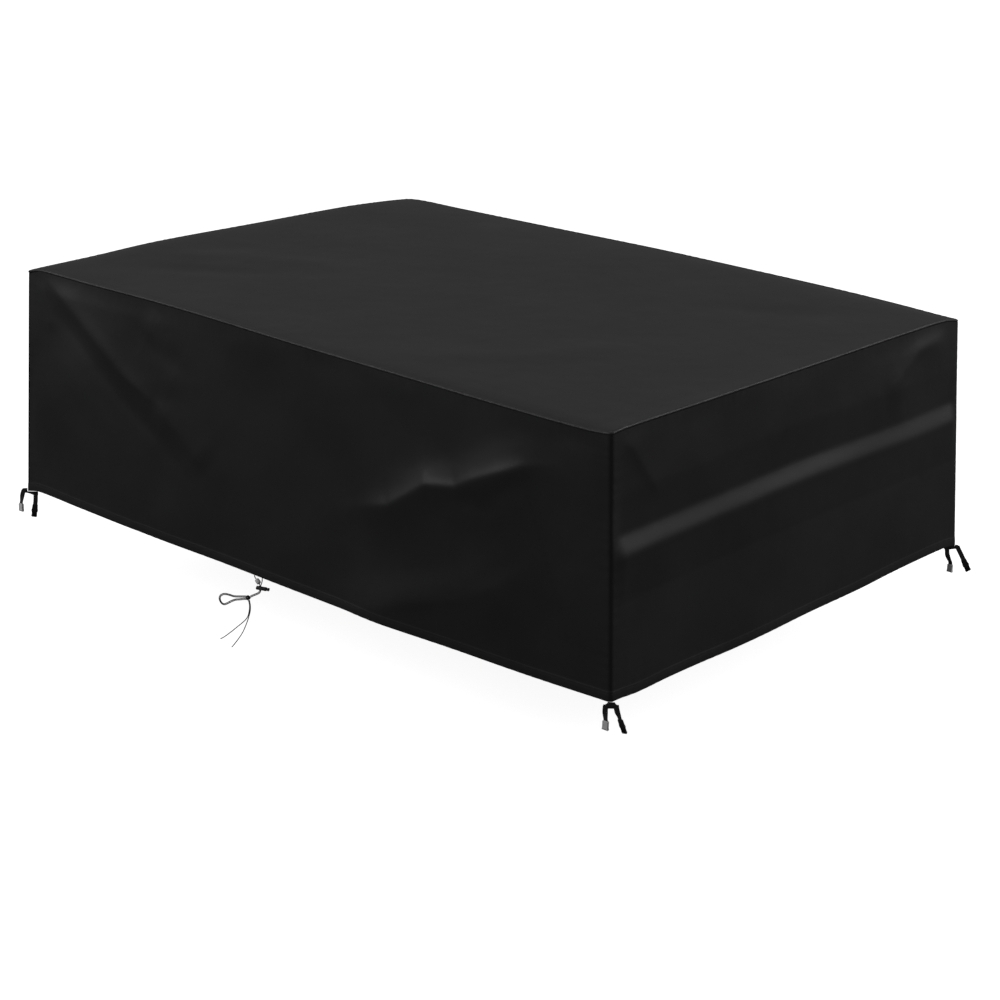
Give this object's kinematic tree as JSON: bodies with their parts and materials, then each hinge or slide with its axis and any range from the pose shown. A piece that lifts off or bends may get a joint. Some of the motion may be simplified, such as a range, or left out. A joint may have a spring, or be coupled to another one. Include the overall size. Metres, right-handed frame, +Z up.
{
  "type": "fitted patio furniture cover",
  "caption": "Fitted patio furniture cover: a hollow cloth box, open below, with a ridged top seam, a hem drawcord with a spring lock, and split buckles on short straps at the hem corners.",
  "frame": {"origin": "the furniture's top under the middle of the top panel, at the panel's underside, where the covered table and chairs hold the cover up", "axes": "+X along the long side, +Y across the cover, +Z up; the drawcord hangs from the hem of the -Y wall"},
  "size_m": [2.5368, 1.8655, 1.0499],
  "materials": {
    "coated_cloth": "black polyurethane-coated polyester, a dull sheen",
    "seam_tape": "taped seam, slightly lighter than the cloth",
    "webbing": "black woven polypropylene webbing",
    "grey_plastic": "satin grey moulding",
    "black_plastic": "satin black moulding",
    "cord": "black braided cord",
    "pale_plastic": "pale grey moulding"
  },
  "bodies": {
    "cover": {"panel_top": "coated_cloth", "panel_front": "coated_cloth", "panel_right": "coated_cloth", "panel_back": "coated_cloth", "panel_left": "coated_cloth", "seam_welt": "seam_tape", "corner_tab_A": "webbing", "strap_socket_A": "webbing", "strap_tongue_A": "webbing", "buckle_socket_A": "grey_plastic", "buckle_tongue_A": "black_plastic", "corner_tab_D": "webbing", "strap_socket_D": "webbing", "strap_tongue_D": "webbing", "buckle_socket_D": "grey_plastic", "buckle_tongue_D": "black_plastic", "corner_tab_C": "webbing", "strap_socket_C": "webbing", "strap_tongue_C": "webbing", "buckle_socket_C": "grey_plastic", "buckle_tongue_C": "black_plastic", "corner_tab_B": "webbing", "strap_socket_B": "webbing", "strap_tongue_B": "webbing", "buckle_socket_B": "grey_plastic", "buckle_tongue_B": "black_plastic", "cord_strand_1": "cord", "cord_strand_2": "cord", "cord_loop_1": "cord", "cord_loop_2": "cord", "cord_end_1": "cord", "cord_end_2": "cord", "cord_knot": "cord", "cord_bead": "pale_plastic", "cord_lock_body": "black_plastic"},
    "lock_button": {"cord_lock_button": "black_plastic"}
  },
  "joints": [
    {"name": "button_press", "type": "slide", "parent": "cover", "child": "lock_button", "axis": [-0.9397, -0.342, 0], "range_m": [0, 0.004], "stiffness_N_per_m": 1000}
  ]
}
